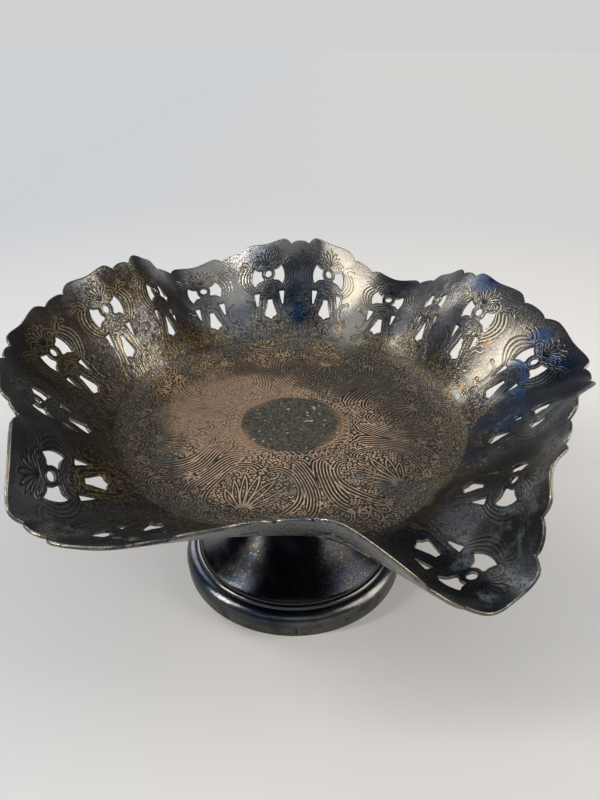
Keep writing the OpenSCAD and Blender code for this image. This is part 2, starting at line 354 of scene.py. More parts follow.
def keystone_hole():
    """The hole in the middle, widest low down. The points are shares of its half width and its length."""
    shares = [(0.4, 0), (0.48, 0.2), (0.72, 0.45), (1, 0.73), (0.99, 0.78), (0.88, 0.84), (0.42, 0.89),
              (0.1, 0.985), (0, 1)]
    right = [(across * KEYSTONE_WIDTH / 2, -down * KEYSTONE_LENGTH) for across, down in shares]
    left = [(-x, y) for x, y in right[-2::-1]]
    return np.array(right + left) - (0, KEYSTONE_DROP)


def holes():
    """All of one motif's holes, each as a closed outline."""
    eye, fan, taper = polar(EYE_RADIUS, 90 - np.arange(0, 360, 10)), fan_hole(), taper_hole()
    return [eye, fan, (fan * (-1, 1))[::-1], taper, (taper * (-1, 1))[::-1], keystone_hole()]


def motif_lines():
    """The right half of the chased work round one motif. x is from its middle line, y from its eye."""
    lines = [arc((0, 0), EYE_RADIUS + 0.85, -90, 90)]
    for hole in (fan_hole(), taper_hole(), keystone_hole()):
        middle = hole.mean(0)
        out = spaced(np.vstack([hole, hole[:1]])) - middle
        lines.append(middle + out * (1 + 0.75 / np.linalg.norm(out, axis=1, keepdims=True)))
    lines += [arc((0, -FAN_DROP - 0.2), radius, 40 - radius, -74) for radius in (10.2, 11.2, 12.2)]
    for angle, length in ((0, 8), (17, 7.7), (34, 7.1), (52, 6.2)):
        lines.append(leaf((0.3 * math.sin(math.radians(angle)), 4.2), angle, length, 0.68, 1.5))
    outer = curve((10.5, -13.2), (9, -14), (8.1, -16.2), (7.9, -19), (8.6, -21.5), (10, -22.7))
    inner = curve(
        (1.6, -11.2), (3.3, -13.4), (3.8, -17), (4.3, -20.4), (4.8, -23.2), (4.2, -25.6), (2.6, -26.4))
    lines += [outer, beside(outer, -0.62), inner, beside(inner, 0.62)]
    for x in (0.25, 2.65):
        lines.append(
            curve((x, -31.6), (x + 0.1, -28.4), (x + 0.95, -27.3), (x + 1.8, -28.4), (x + 1.7, -31)))
        lines.append(curve((x + 0.9, -31.2), (x + 0.95, -29)))
    for x, y, radius, start, turns in (
        (5.4, 4.6, 1.6, 200, -1.4), (10.9, -12.3, 0.95, 250, 1.5), (10.3, -21.7, 1.05, 250, 1.5),
        (3.1, -25.3, 1.1, 260, -1.4), (1.1, -8.2, 0.9, 90, 1.3), (5.1, -9.4, 0.7, 0, 1.3),
        (7, -26.8, 1.3, 120, -1.3), (11, -29.4, 1.4, 60, 1.3),
    ):
        lines.append(volute((x, y), radius, start, turns))
    return lines + [
        arc((5.4, 4.6), 2.6, 150, -10), arc((0, -8.1), 2.3, -90, 90),
        curve((9.6, 4.9), (10.2, 6.4), (11.4, 7), (12, 6.3)), curve((8.9, 6.2), (9.3, 7.8), (10.6, 8.6)),
        curve((3.6, -7), (4.6, -8.3), (4.2, -9.7), (3, -9.6)),
        curve((5.9, -24), (7.4, -23.4), (8.9, -24.6), (9.3, -27), (8.4, -29.4)),
    ]


# ---- the chased floor ----

def sector_lines():
    """The chased work in half of one of the floor's six sectors. y runs from the dish's middle along the
    axis of its palm fan."""
    knot = np.array([0, 57])
    lines = [arc(knot, 1.35, 0, 360), arc(knot, 0.4, 0, 360)]
    for angle, length in ((180, 16.5), (164, 16), (148, 14), (132, 11)):
        lines.append(leaf(knot + polar(2.2, angle), angle, length, 1.1, 1.1))
    for angle in (112, 92):
        lines.append(comma(knot + polar(2.4, angle), angle - 20, 4.4))
    frame_line = curve(
        (9.8, 60.2), (13.4, 56.5), (14.8, 49.5), (13.6, 42), (10.2, 36.4), (5.2, 33.6), (2.4, 35))
    lines += [beside(frame_line, 1.3 * i) for i in range(3)]
    swag = curve((21.4, 57.4), (22.4, 51), (20.8, 43.6), (17, 36.6), (12.2, 30.6), (8.8, 28), (6.2, 28.6))
    parts = ((0, 1), (0.05, 0.97), (0.1, 0.93), (0.15, 0.9), (0.21, 0.86), (0.28, 0.8))
    for i, (start, end) in enumerate(parts):
        line = beside(swag, -1.28 * i + 2.3)
        part = line[int(start * len(line)):int(end * len(line))]
        lines += [part, volute(part[-1] + (0.4, 0.5), 0.7, 290, -0.8)]
    second = curve((28.4, 47.4), (26.6, 41.6), (22.4, 34.6), (17, 28), (12.8, 24.6), (9.6, 24.6))
    lines += [second, beside(second, -1.5)]
    lines += [volute((10.6, 58.6), 1.9, 110, 1.3), volute((3.1, 36.3), 1.4, 260, -1.3)]
    lines += [volute((6.9, 30), 1.4, 270, -1.2), volute((19.8, 58.6), 2.2, 290, 1.4)]
    lines += c_scroll(polar(63.6, 8.6), 4.5, 198.6) + c_scroll(polar(60.5, 27), 5.2, 232)
    for distance, place, angle, length in ((59, 0, 0, 8.5), (58.5, 17.2, 16, 9.5), (50, 29.5, 40, 6)):
        lines += lobes(polar(distance, place), angle, length)
    for i in range(7):
        lines.append(comma(polar(67.4, 2.2 + 4.3 * i), 4.3 * i + (50 if i % 2 else -50), 1.9))
    for i in range(5):
        start = polar(MEDALLION_RADIUS + 1.1, 3 + 6 * i)
        lines += [comma(start, 6 * i + 25, 3.2), comma(start + polar(3, 6 * i), 6 * i - 40, 1.8)]
    return lines


def tree_of(lines):
    points = np.vstack(lines)
    tree = KDTree(len(points))
    for i, (x, y) in enumerate(points):
        tree.insert((x, y, 0), i)
    tree.balance()
    return tree


def distances(tree, points):
    """How far each point is from the nearest of the tree's."""
    return np.array([tree.find((x, y, 0))[2] for x, y in points])


def fillers(lines, gap, seed, tries):
    """Small curls and commas, put by chance between the lines of a sector, at least a gap from each."""
    rng = np.random.default_rng(seed)
    r = np.sqrt(rng.uniform((MEDALLION_RADIUS + 1) ** 2, CHASED_RADIUS**2, tries))
    places = polar(r, rng.uniform(0, 30, tries))
    places = places[distances(tree_of(lines), places) > gap]
    kept, made = [], []
    for p in places:
        if all(np.hypot(*(p - q)) > 2.1 * gap for q in kept):
            kept.append(p)
            if rng.random() < 0.4:
                made.append(volute(p, rng.uniform(0.7, 1), rng.uniform(0, 360), rng.choice([-0.9, 0.9])))
            else:
                made.append(comma(p - (0.3, 0.5), rng.uniform(0, 360), rng.uniform(1.2, 1.9)))
    return made


def folded(points):
    """Points on the floor, brought into the half sector that its chased lines are drawn in."""
    a = np.degrees(np.arctan2(*points.T)) - FAN_PHASE
    return polar(np.hypot(*points.T), np.abs((a + 30) % 60 - 30))


def waver(points, size, seed):
    """An uneven value, mostly between -1 and 1, that changes over about a size in mm."""
    rng = np.random.default_rng(seed)
    angles = rng.uniform(0, 2 * np.pi, 9)
    stretches = rng.uniform(0.7, 1.5, 9)
    starts = rng.uniform(0, 2 * np.pi, 9)
    along = points @ np.stack([np.cos(angles), np.sin(angles)])
    return np.sin(along * 2 * np.pi / (size * stretches) + starts).sum(1) / 3


def chased_height(tree, points, place):
    """1 on a chased line and 0 on the ground beside it. The ground's wide parts are raised, with pits."""
    d = distances(tree, place)
    x, y = place.T * 2 * np.pi / DOT_PITCH
    uneven = 0.5 * waver(points, 2.7, 2)
    pits = np.abs(np.cos((x + y) / 2 + uneven) * np.cos((x - y) / 2 - uneven))
    dotted = (1 - ramp(pits, 0.3, 0.75)) * ramp(d, 0.62, 0.85)
    return np.maximum(line_height(d), 0.8 * dotted)


def line_height(distance, half_width=LINE_WIDTH):
    """1 in the middle of a line, 0 from its edge on, and round between them."""
    return 0.5 + 0.5 * np.cos(np.pi * np.clip(distance / half_width, 0, 1))


# ---- the dish's mesh ----

def hex_grid(width, low, high, step):
    """Points between two heights, as far out as the width to both sides."""
    rows = []
    for j in range(int((high - low) / (step * ROW_SHARE)) + 1):
        y = low + j * step * ROW_SHARE
        x = np.arange(-width + step * (0.5 + 0.5 * (j % 2)), width, step)
        rows.append(np.stack([x, np.full_like(x, y)], 1))
    return np.vstack(rows)


def inside(points, outlines):
    """Which points are inside the first outline and outside the others, which are holes in it."""
    x, y = points.T
    found = np.zeros(len(points), bool)
    for outline in outlines:
        for (x0, y0), (x1, y1) in zip(outline, np.roll(outline, -1, 0)):
            at = x0 + (y - y0) * (x1 - x0) / (y1 - y0 if y1 != y0 else 1)
            found ^= ((y0 > y) != (y1 > y)) & (x < at)
    return found


def spans(parts):
    """Where each part's points are once the parts are stacked."""
    ends = np.cumsum([len(part) for part in parts])
    return [list(range(end - len(part), end)) for part, end in zip(parts, ends)]


def grown(outline, by):
    """An outline moved outward all round."""
    way = np.roll(outline, -1, 0) - np.roll(outline, 1, 0)
    way /= np.linalg.norm(way, axis=1, keepdims=True)
    side = np.stack([way[:, 1], -way[:, 0]], 1)
    x, y = outline.T
    if (x * np.roll(y, -1) - np.roll(x, -1) * y).sum() < 0:
        side = -side
    return outline + by * side


def triangles_of(points, loops):
    """Triangles that join the points inside the first loop of point numbers and outside the others."""
    edges = [(a, b) for loop in loops for a, b in zip(loop, loop[1:] + loop[:1])]
    made = delaunay_2d_cdt([Vector(p) for p in points], edges, [], 0, 1e-7)
    if len(made[0]) != len(points):
        raise ValueError("points of the flat pattern lie on each other")
    t = np.array(made[2])
    t = t[inside(points[t].mean(1), [points[loop] for loop in loops])]
    u, v = points[t[:, 1]] - points[t[:, 0]], points[t[:, 2]] - points[t[:, 0]]
    wrong = u[:, 0] * v[:, 1] - u[:, 1] * v[:, 0] < 0
    t[wrong] = t[wrong][:, ::-1]
    return t


def rim_line():
    """x and distance along the slope for the rim of one unit in the flat pattern."""
    end = np.linspace(7, HALF_UNIT, 22)
    u = np.concatenate([np.linspace(-HALF_UNIT, HALF_UNIT, 61), -end, end])
    u = np.unique(u.round(4))
    s = WALL_LENGTH - RIM_INSET - NOTCH_DEPTH + scallop(u + HALF_UNIT)
    return np.stack([u * TEMPLATE_HALF / HALF_UNIT, s], 1)


def unit_template(bottom_x, side_s, grid):
    """Flat points and triangles of one unit, with the places of its sides, bottom, rim and holes."""
    rim = rim_line() - (0, SHEET / 2)
    side_s = side_s[(side_s > 0) & (side_s < rim[0, 1] - 0.3)]
    left = np.stack([np.full_like(side_s, -TEMPLATE_HALF), side_s], 1)
    parts = [np.stack([bottom_x, 0 * bottom_x], 1), left * (-1, 1), rim[::-1], left[::-1]]
    sides = spans(parts)
    outlines = [np.vstack(parts)] + [grown(h, BEVEL_WIDTH) + (0, EYE_SLANT) for h in holes()]
    loops = spans(outlines)
    grid = grid[inside(grid, outlines)]
    near = np.where(grid[:, 1] < 20, 0.16, 0.2)
    points = np.vstack(outlines + [grid[distances(tree_of(outlines), grid) > near]])
    return {
        "points": points, "triangles": triangles_of(points, loops), "holes": loops[1:],
        "bottom": sides[0], "right": sides[1], "rim": sides[2][::-1], "left": sides[3][::-1],
    }


def pattern_angle(flat, unit):
    """The pattern angle of a unit's flat points. Beside the motif x is in true mm, elsewhere a share."""
    x, s = flat.T
    middle = UNIT_ANGLE * unit + HALF_UNIT
    w = np.linalg.norm(along_rim(np.full_like(s, middle), s), axis=1)
    core = np.minimum(TRUE_HALF, MOTIF_HALF_ANGLE * w)
    inner = np.clip(np.abs(x), 0, TRUE_HALF) * core / TRUE_HALF / w
    beyond = (np.clip(np.abs(x), TRUE_HALF, TEMPLATE_HALF) - TRUE_HALF) / (TEMPLATE_HALF - TRUE_HALF)
    outer = beyond * (HALF_UNIT - core / w)
    true = np.sign(x) * (inner + outer)
    share = x * HALF_UNIT / TEMPLATE_HALF
    mix = ramp(s, *TRUE_START) * (1 - ramp(s, *TRUE_END))
    return middle + share + (true - share) * mix


TOLD = ("line", "groove", "slope", "side")  # what the materials are told about each of the dish's points


class Shell:
    """The dish's points and faces. A point also has what's told about it and its place on the flat pattern.
    A face has whether it's mapped with the underside."""

    def __init__(self):
        self.points, self.values, self.flat, self.faces, self.under = [], [], [], [], []
        self.count = 0

    def add(self, points, a, s, side, line=0.0, groove=0.0, flat_shift=0.0):
        start = self.count
        self.count += len(points)
        self.points.append(points)
        self.values.append(np.stack(np.broadcast_arrays(line, groove, s, side), 1))
        self.flat.append(polar(FLOOR_RADIUS + s + flat_shift, a))
        return np.arange(start, self.count)

    def add_faces(self, triangles, side):
        self.faces.append(triangles if side >= 0 else triangles[:, ::-1])
        self.under.append(np.full(len(triangles), side < 0))

    def add_strip(self, upper, lower, under=False):
        """Two triangles for each step between two closed rings of the same length."""
        a, b = upper, np.roll(upper, -1)
        c, d = np.roll(lower, -1), lower
        self.faces += [np.stack([a, d, c], 1), np.stack([a, c, b], 1)]
        self.under.append(np.full(2 * len(a), under))


class Chasing:
    """What's worked into the upper side: raised lines on the floor, fine grooves round the motifs."""

    def __init__(self):
        lines = sector_lines()
        self.floor = tree_of(lines + fillers(lines, 1.25, 5, 3000))
        self.motif = tree_of(motif_lines())

    def raised(self, points):
        """1 on the floor's raised lines, 0 on the ground and outside the chased part."""
        r = np.hypot(*points.T)
        moved = points + 0.9 * np.stack([waver(points, 26, 3), waver(points, 26, 4)], 1)
        line = chased_height(self.floor, points, folded(moved))
        inner = ramp(r, MEDALLION_RADIUS, MEDALLION_RADIUS + 0.7)
        return line * inner * (1 - ramp(r, CHASED_RADIUS, CHASED_RADIUS + 2.5))

    def from_groove(self, flat):
        """How far flat points of a unit are from the middle of the nearest groove."""
        return distances(self.motif, np.stack([np.abs(flat[:, 0]), flat[:, 1] - EYE_SLANT], 1))

    def groove(self, flat):
        """1 in a groove, below 0 on the lips beside it, 0 on the plain wall."""
        d = self.from_groove(flat)
        cut = line_height(d, GROOVE_WIDTH) - LIP_SHARE * line_height(np.abs(d - LIP_PLACE), LIP_WIDTH)
        return cut * (flat[:, 1] > BORDER_END)

    def height(self, line, groove):
        """How far the upper side stands above the plain sheet, in mm."""
        cut = np.where(groove > 0, -GROOVE_DEPTH * groove, -LIP_HEIGHT * groove / LIP_SHARE)
        return LINE_HEIGHT * (line - 0.35) + cut


def depth_at(a):
    """How deep the grooves still are: they're nearly full of tarnish at the dish's front right."""
    return 1 - 0.6 * (1 - ramp(np.abs((a - CLOGGED_ANGLE + 180) % 360 - 180), 20, 55))


def add_wall(shell, template, side, chasing=None):
    """Adds one side of the sheet. Gives the rings of its bottom, its rim and its holes."""
    flat = template["points"]
    left, right, bottom, rim = (template[k] for k in ("left", "right", "bottom", "rim"))
    corner_left = [bottom[0], *left, rim[0]]
    corner_right = [bottom[-1], *right, rim[-1]]
    own = np.ones(len(flat), bool)
    own[corner_left] = False
    s = flat[:, 1]
    low = s < BORDER_END
    groove = chasing.groove(flat) if chasing else 0 * s
    maps, rings = [], {"bottom": [], "rim": [], "holes": []}
    for k in range(UNITS):
        a = pattern_angle(flat, k)
        line = 0 * s
        height = 0 * s
        if chasing:
            line[low] = chasing.raised(polar(FLOOR_RADIUS + s[low], a[low]))
            height = chasing.height(line, groove * depth_at(a))
        p = sheet_point(a, s) + side * facing(a, s) * (SHEET / 2 + height)[:, None]
        index = np.full(len(flat), -1)
        index[own] = shell.add(p[own], a[own], s[own], side, line[own], groove[own])
        maps.append(index)
    for k in range(UNITS):
        maps[k][corner_left] = maps[k - 1][corner_right]
        shell.add_faces(maps[k][template["triangles"]], side)
        rings["bottom"].append(maps[k][bottom[:-1]])
        rings["rim"].append(maps[k][rim[:-1]])
        rings["holes"].append([maps[k][h] for h in template["holes"]])
    return rings


def add_rim_edge(shell, top, bottom):
    """Rounds the sheet over between its two sides at the rim."""
    line = rim_line()[:-1]
    previous = top
    for i, angle in enumerate((55, 20, -20, -55)):
        rings = []
        for k in range(UNITS):
            a = UNIT_ANGLE * k + HALF_UNIT + line[:, 0] * HALF_UNIT / TEMPLATE_HALF
            s = line[:, 1] - SHEET / 2 * (1 - math.cos(math.radians(angle)))
            p = sheet_point(a, s) + facing(a, s) * SHEET / 2 * math.sin(math.radians(angle))
            rings.append(shell.add(p, a, s, 0, flat_shift=0.6 + 0.3 * i))
        ring = np.concatenate(rings)
        shell.add_strip(previous, ring)
        previous = ring
    shell.add_strip(previous, bottom, under=True)


def add_hole_edges(shell, top, bottom):
    """Walls of every hole, with a narrow bevel at both sides of the sheet."""
    for i, hole in enumerate(holes()):
        hole = hole + (0, EYE_SLANT)
        middle = hole.mean(0)
        for k in range(UNITS):
            rings = []
            for depth, inward in ((SHEET / 2 - BEVEL, 0.9), (BEVEL - SHEET / 2, 0.75)):
                a, s = pattern_angle(hole, k), hole[:, 1]
                mapped = middle + (hole - middle) * inward
                p = sheet_point(a, s) + facing(a, s) * depth
                rings.append(shell.add(p, pattern_angle(mapped, k), mapped[:, 1], 0))
            order = slice(None, None, -1) if i in MIRRORED_HOLES else slice(None)
            chain = [ring[order] for ring in (top[k][i], *rings, bottom[k][i])]
            for last, ring, under in zip(chain, chain[1:], (False, False, True)):
                shell.add_strip(ring, last, under)


def add_floor(shell, ring, step, side, chasing=None):
    """Fills the ring at the wall's bottom with one side of the flat floor."""
    edge = np.vstack(shell.points)[ring][:, :2]
    grid = hex_grid(FLOOR_RADIUS, -FLOOR_RADIUS, FLOOR_RADIUS, step)
    grid = grid[np.hypot(*grid.T) < FLOOR_RADIUS - 0.7 * step]
    triangles = triangles_of(np.vstack([edge, grid]), spans([edge]))
    line = chasing.raised(grid) if chasing else np.zeros(len(grid))
    height = chasing.height(line, 0 * line) if chasing else line
    a, s = np.degrees(np.arctan2(*grid.T)), np.hypot(*grid.T) - FLOOR_RADIUS
    points = np.column_stack([grid, MIDDLE_HEIGHT + side * (SHEET / 2 + height)])
    index = np.concatenate([ring, shell.add(points, a, s, side, line)])
    shell.add_faces(index[triangles], side)


def build_dish():
    chasing = Chasing()
    fine = hex_grid(TEMPLATE_HALF, BORDER_END + 0.1, WALL_LENGTH, WALL_STEP)
    plain = hex_grid(TEMPLATE_HALF, BORDER_END + 0.7, WALL_LENGTH, PLAIN_STEP)
    upper_grid = np.vstack([
        hex_grid(TEMPLATE_HALF, 0.25, BORDER_END, BORDER_STEP * 1.25),
        fine[chasing.from_groove(fine) < FINE_REACH],
        plain[chasing.from_groove(plain) > FINE_REACH + 0.2],
    ])
    side_s = np.concatenate([np.arange(0.4, 20, BORDER_STEP), np.arange(20.5, 70, 1.2)])
    bottom_x = np.linspace(-TEMPLATE_HALF, TEMPLATE_HALF, int(58 / DRAFT))
    upper = unit_template(bottom_x, side_s, upper_grid)
    under_grid = hex_grid(TEMPLATE_HALF, 1.2, WALL_LENGTH, UNDER_STEP)
    under = unit_template(np.linspace(-TEMPLATE_HALF, TEMPLATE_HALF, 9), np.arange(2, 68, 2.2), under_grid)

    shell = Shell()
    top = add_wall(shell, upper, 1, chasing)
    low = add_wall(shell, under, -1)
    add_rim_edge(shell, np.concatenate(top["rim"]), np.concatenate(low["rim"]))
    add_hole_edges(shell, top["holes"], low["holes"])
    add_floor(shell, np.concatenate(top["bottom"]), FLOOR_STEP, 1, chasing)
    add_floor(shell, np.concatenate(low["bottom"]), UNDER_STEP, -1)
    return shell


def mesh_object(name, points, faces, shift):
    """An object from points in mm and faces that all have as many corners."""
    mesh = bpy.data.meshes.new(name)
    mesh.vertices.add(len(points))
    mesh.vertices.foreach_set("co", ((points + shift) * MM).astype(np.float32).ravel())
    mesh.loops.add(faces.size)
    mesh.loops.foreach_set("vertex_index", faces.astype(np.int32).ravel())
    mesh.polygons.add(len(faces))
    mesh.polygons.foreach_set("loop_start", np.arange(0, faces.size, faces.shape[1], dtype=np.int32))
    mesh.update(calc_edges=True)
    mesh.shade_smooth()
    made = bpy.data.objects.new(name, mesh)
    bpy.context.scene.collection.objects.link(made)
    return made


def dish_object():
    shell = build_dish()
    faces = np.vstack(shell.faces)
    dish = mesh_object("dish_sheet", np.vstack(shell.points), faces, AXIS)
    dish.data.set_sharp_from_angle(angle=math.radians(50))
    for name, values in zip(TOLD, np.vstack(shell.values).T):
        layer = dish.data.attributes.new(name, "FLOAT", "POINT")
        layer.data.foreach_set("value", values.astype(np.float32))

    # Both sides are mapped as flat discs, the underside small in the corner that the upper side leaves.
    flat = np.vstack(shell.flat)[faces.ravel()] / (FLOOR_RADIUS + WALL_LENGTH + 3)
    under = np.repeat(np.concatenate(shell.under), 3)[:, None]
    place = np.where(under, 0.835 + 0.16 * flat * (-1, 1), 0.42 + 0.415 * flat)
    dish.data.uv_layers.new(name="OFBake").data.foreach_set("uv", place.astype(np.float32).ravel())
    return dish


# ---- the foot ----

def turned_piece(name, profile, node, material, gap=0.0):
    """Spins a closed outline of (radius, height) round the foot's axis, with a gap (mm) at the seam."""
    profile = np.array(profile, float)
    half_gap = math.degrees(gap / 2 / profile[:, 0].max())
    a = np.radians(np.linspace(SEAM_ANGLE + half_gap, SEAM_ANGLE + 360 - half_gap, FOOT_STEPS + 1))
    if not gap:
        a = a[:-1]
    rows, n = len(a), len(profile)
    r, z = profile.T
    points = np.stack([np.outer(np.sin(a), r), np.outer(np.cos(a), r), np.outer(np.ones(rows), z)], 2)
    here = np.arange(rows - 1 if gap else rows)[:, None] * n
    there = (here + n) % (rows * n)
    k, m = np.arange(n), (np.arange(n) + 1) % n
    faces = np.stack([here + k, here + m, there + m, there + k], 2).reshape(-1, 4)
    made = mesh_object(name, points.reshape(-1, 3), faces, FOOT_AXIS)
    if gap:
        close_ends(made.data, n, rows)
    made.data.set_sharp_from_angle(angle=math.radians(38))
    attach(made, "root")
    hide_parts(node)
    made.data.materials.append(material)


def close_ends(mesh, n, rows):
    """Puts a face over each end of a bent strip whose outline has n points."""
    edit = bmesh.new()
    edit.from_mesh(mesh)
    edit.verts.ensure_lookup_table()
    edit.faces.new(edit.verts[:n][::-1])
    edit.faces.new(edit.verts[(rows - 1) * n:rows * n])
    bmesh.ops.recalc_face_normals(edit, faces=edit.faces)
    edit.to_mesh(mesh)
    edit.free()


def swell(radius, height, width, rise, angles):
    """Points on a quarter of an ellipse that stands out from a radius and a height."""
    return [(radius + width * math.cos(a), height + rise * math.sin(a)) for a in np.radians(angles)]


def pedestal_profile():
    """Up the outside by the ledge, the flare and the flange, and down the inside."""
    across, up = NECK_RADIUS - LEDGE_RADIUS, FLANGE_UNDER - LEDGE_HEIGHT
    flare = curve(*[(LEDGE_RADIUS + across * x, LEDGE_HEIGHT + up * y) for x, y in TRUMPET])[::7]
    inside = beside(flare, FOOT_SHEET * 0.98)
    ledge = swell(
        LEDGE_RADIUS + LEDGE_FLAT, GROOVE_HEIGHT, LEDGE_WIDTH - LEDGE_FLAT, FOOT_SHEET, np.arange(10, 91, 10))
    return [
        (LEDGE_RADIUS - FOOT_SHEET, GROOVE_HEIGHT), (GROOVE_RADIUS, GROOVE_HEIGHT), *ledge, *flare,
        (NECK_RADIUS + 2.8, FLANGE_UNDER - 0.02), (FLANGE_RADIUS, FLANGE_UNDER),
        (FLANGE_RADIUS, UNDER_HEIGHT), (NECK_RADIUS - FOOT_SHEET, UNDER_HEIGHT), *inside[::-1],
    ]


def bead_profile():
    """A hollow quarter round."""
    outside = swell(GROOVE_RADIUS, BAND_HEIGHT, BEAD_WIDTH, BEAD_HEIGHT, np.arange(0, 91, 5))
    inside = swell(
        GROOVE_RADIUS, BAND_HEIGHT, BEAD_WIDTH - FOOT_SHEET, BEAD_HEIGHT - FOOT_SHEET, np.arange(90, -1, -5))
    return [*outside, (LEDGE_RADIUS, GROOVE_HEIGHT), (LEDGE_RADIUS, GROOVE_HEIGHT - FOOT_SHEET), *inside]


def band_profile():
    """An upright strip with its corners broken."""
    r, inner = BAND_RADIUS, BAND_RADIUS - FOOT_SHEET
    return [
        (r - 0.25, 0), (r - 0.07, 0.07), (r, 0.25), (r, BAND_HEIGHT - 0.2), (r - 0.2, BAND_HEIGHT),
        (inner + 0.1, BAND_HEIGHT), (inner, BAND_HEIGHT - 0.1), (inner, 0.1), (inner + 0.1, 0),
    ]


# ---- materials ----

class Value:
    """A node's output, worked with as if it were a number."""

    def __init__(self, graph, socket):
        self.graph, self.socket = graph, socket

    def __add__(self, other):
        return self.graph.math("ADD", self, other)

    def __sub__(self, other):
        return self.graph.math("SUBTRACT", self, other)

    def __rsub__(self, other):
        return self.graph.math("SUBTRACT", other, self)

    def __mul__(self, other):
        return self.graph.math("MULTIPLY", self, other)

    def band(self, start, end):
        """0 up to start, 1 from end on. It falls instead where start is above end."""
        if start > end:
            return 1.0 - self.band(end, start)
        inputs = {"Value": self, "From Min": start, "From Max": end}
        return self.graph.node("ShaderNodeMapRange", inputs, interpolation_type="SMOOTHSTEP")

    def swing(self, size):
        """A noise brought to change about 0, by up to half the size."""
        return (self - 0.5) * size


class Graph:
    """A material's nodes. What goes into a node is a Value, a number or a colour."""

    def __init__(self, name, metallic=1.0):
        self.material = bpy.data.materials.new(name)
        self.material.use_nodes = True
        self.tree = self.material.node_tree
        self.shader = self.tree.nodes["Principled BSDF"]
        self.shader.inputs["Metallic"].default_value = metallic
        self.place = self.node("ShaderNodeTexCoord", {}, "Object")

    def put(self, value, socket):
        if isinstance(value, Value):
            self.tree.links.new(value.socket, socket)
        else:
            socket.default_value = value

    def node(self, kind, inputs, output=0, **settings):
        made = self.tree.nodes.new(kind)
        for key, value in settings.items():
            setattr(made, key, value)
        for key, value in inputs.items():
            self.put(value, made.inputs[key])
        return Value(self, made.outputs[output])

    def noise(self, scale, detail, rough=0.55):
        inputs = {"Vector": self.place, "Scale": scale, "Detail": detail, "Roughness": rough}
        return self.node("ShaderNodeTexNoise", inputs)

    def math(self, operation, a, b=0.0):
        return self.node("ShaderNodeMath", {0: a, 1: b}, operation=operation)

    def most(self, first, *others):
        for other in others:
            first = self.math("MAXIMUM", first, other)
        return first

    def mix(self, share, a, b):
        return self.node("ShaderNodeMix", {0: share, 6: a, 7: b}, 2, data_type="RGBA")

    def layers(self, base, *layers):
        """The base under layers, each a colour and its share, from the lowest up."""
        for colour, share in layers:
            base = self.mix(share, base, colour)
        return base

    def away(self, point):
        """Distance in metres from a point given in mm."""
        inputs = {0: self.place, 1: [c * MM for c in point]}
        return self.node("ShaderNodeVectorMath", inputs, "Value", operation="DISTANCE")

    def near(self, spots):
        """1 close to any of the spots, 0 beyond its reach."""
        angles, distances_up, reaches = np.array(spots, float).T
        points = sheet_point(angles, distances_up) + AXIS
        return self.most(*(self.away(p).band(r * MM, 0.35 * r * MM) for p, r in zip(points, reaches)))

    def finish(self, colour, roughness, bumps=None, strength=0.0):
        """Sets the look. Bumps are 0.2 mm high."""
        if bumps:
            inputs = {"Height": bumps, "Strength": strength, "Distance": 0.2 * MM}
            self.put(self.node("ShaderNodeBump", inputs), self.shader.inputs["Normal"])
        self.put(colour, self.shader.inputs["Base Color"])
        self.put(roughness, self.shader.inputs["Roughness"])
        return self.material


def rgb(r, g, b):
    """A colour as it's seen on a screen, 0 to 255, brought to the linear values that Blender uses."""
    c = np.array([r, g, b]) / 255
    return (*np.where(c > 0.04045, ((c + 0.055) / 1.055) ** 2.4, c / 12.92), 1)


class Plate(Graph):
    """The dish's old silver plate, with what its colours share."""

    def __init__(self):
        super().__init__("old_silver_plate")
        self.line, self.groove, self.slope, self.side = (
            self.node("ShaderNodeAttribute", {}, "Fac", attribute_name=name) for name in TOLD)
        self.blotch, self.patchy = self.noise(80, 12, 0.72), self.noise(60, 8, 0.7)
        self.speck = self.noise(600, 6, 0.66)
        self.fine = self.noise(1300, 3, 0.6) * 0.7 + self.noise(300, 7, 0.7) * 0.4
        self.left, self.clean = self.near(BROWN_SPOTS), self.near(CLEAN_AND_HIGHLIGHT_SPOTS)
        low = self.slope.band(36, 14)
        self.earthy = self.most(self.left, low)
        self.film_and_shade = self.near(DARK_FILM_AND_SHADE_SPOTS) * self.patchy.band(0.12, 0.45)
        self.soot_and_shade = self.near(SOOT_AND_SHADE_SPOTS) * self.patchy.band(0.2, 0.5)
        self.glaze_and_sky = self.near(GLAZE_AND_SKY_SPOTS) * self.noise(110, 8, 0.7).band(0.35, 0.55)
        wisps = self.noise(75, 10, 0.75).band(0.42, 0.6) * self.noise(420, 6, 0.7).band(0.25, 0.6)
        self.haze = self.near(HAZE_SPOTS) * wisps
        brown = self.fine + self.blotch.swing(0.45) + self.left * 0.07 + low * 0.13
        brown = brown - self.clean * 0.2 - (1.0 - self.earthy) * 0.05
        self.brown = brown.band(0.5, 0.66)


